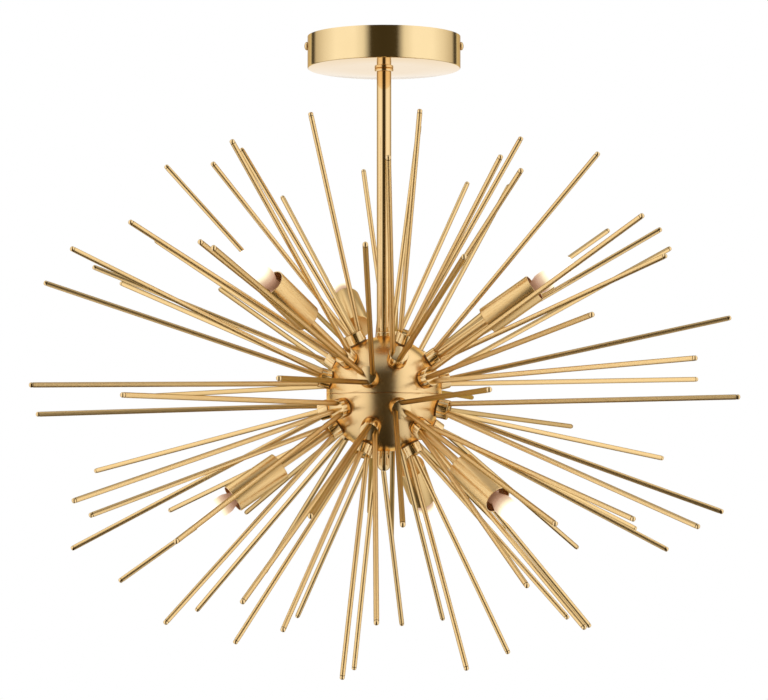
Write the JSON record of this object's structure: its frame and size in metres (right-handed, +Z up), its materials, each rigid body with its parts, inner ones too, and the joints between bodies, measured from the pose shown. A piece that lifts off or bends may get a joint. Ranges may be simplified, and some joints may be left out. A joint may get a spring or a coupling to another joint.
{
  "type": "sputnik chandelier",
  "caption": "Ball bristling with fans of straight rods and short open tube lamps, hung by a straight stem from a round ceiling canopy.",
  "frame": {"origin": "middle of the ceiling strap's top face, on the ceiling", "axes": "+Z up along the stem into the ceiling, +X to the right and -Y towards the viewer in the picture"},
  "size_m": [0.5486, 0.5394, 0.4989],
  "materials": {
    "brushed_gold": "brushed",
    "zinc_steel": "zinc plated",
    "white_plastic": "matt",
    "ceramic": "glazed ceramic",
    "lamp_glass": "frosted and lit"
  },
  "bodies": {
    "fixture": {"canopy": "brushed_gold", "canopy_side_screws": "brushed_gold", "stem_collar": "brushed_gold", "stem_tube": "brushed_gold", "stem_foot_ring": "brushed_gold", "ball_upper_shell": "brushed_gold", "ball_lower_shell": "brushed_gold", "finial": "brushed_gold", "upper_crown_bosses": "brushed_gold", "upper_crown_rods": "brushed_gold", "upper_shoulder_bosses": "brushed_gold", "upper_shoulder_rods": "brushed_gold", "upper_waist_bosses": "brushed_gold", "upper_waist_rods": "brushed_gold", "lower_crown_bosses": "brushed_gold", "lower_crown_rods": "brushed_gold", "lower_shoulder_bosses": "brushed_gold", "lower_shoulder_rods": "brushed_gold", "lower_waist_bosses": "brushed_gold", "lower_waist_rods": "brushed_gold", "upper_front_arm": "brushed_gold", "upper_front_cup": "brushed_gold", "upper_right_arm": "brushed_gold", "upper_right_cup": "brushed_gold", "upper_rear_arm": "brushed_gold", "upper_rear_cup": "brushed_gold", "lower_front_arm": "brushed_gold", "lower_front_cup": "brushed_gold", "lower_left_arm": "brushed_gold", "lower_left_cup": "brushed_gold", "lower_rear_arm": "brushed_gold", "lower_rear_cup": "brushed_gold", "ceiling_bracket": "zinc_steel", "terminal_block_screw": "zinc_steel", "earth_screw": "zinc_steel", "canopy_washer": "zinc_steel", "canopy_lock_nut": "zinc_steel", "stem_nipple": "zinc_steel", "ball_washer": "zinc_steel", "ball_lock_nut": "zinc_steel", "ball_tie_tube": "zinc_steel", "arm_nuts": "zinc_steel", "cup_nuts": "zinc_steel", "terminal_block": "white_plastic", "upper_front_lampholder": "ceramic", "upper_right_lampholder": "ceramic", "upper_rear_lampholder": "ceramic", "lower_front_lampholder": "ceramic", "lower_left_lampholder": "ceramic", "lower_rear_lampholder": "ceramic"},
    "upper_front_lamp": {"upper_front_bulb": "lamp_glass"},
    "upper_right_lamp": {"upper_right_bulb": "lamp_glass"},
    "upper_rear_lamp": {"upper_rear_bulb": "lamp_glass"},
    "lower_front_lamp": {"lower_front_bulb": "lamp_glass"},
    "lower_left_lamp": {"lower_left_bulb": "lamp_glass"},
    "lower_rear_lamp": {"lower_rear_bulb": "lamp_glass"}
  },
  "joints": [
    {"name": "upper_front_bulb_pull", "type": "slide", "parent": "fixture", "child": "upper_front_lamp", "axis": [-0.5862, -0.5862, 0.5592], "range_m": [0, 0.06]},
    {"name": "upper_right_bulb_pull", "type": "slide", "parent": "fixture", "child": "upper_right_lamp", "axis": [0.8008, -0.2146, 0.5592], "range_m": [0, 0.06]},
    {"name": "upper_rear_bulb_pull", "type": "slide", "parent": "fixture", "child": "upper_rear_lamp", "axis": [-0.2146, 0.8008, 0.5592], "range_m": [0, 0.06]},
    {"name": "lower_front_bulb_pull", "type": "slide", "parent": "fixture", "child": "lower_front_lamp", "axis": [0.5862, -0.5862, -0.5592], "range_m": [0, 0.06]},
    {"name": "lower_left_bulb_pull", "type": "slide", "parent": "fixture", "child": "lower_left_lamp", "axis": [-0.8008, -0.2146, -0.5592], "range_m": [0, 0.06]},
    {"name": "lower_rear_bulb_pull", "type": "slide", "parent": "fixture", "child": "lower_rear_lamp", "axis": [0.2146, 0.8008, -0.5592], "range_m": [0, 0.06]}
  ]
}
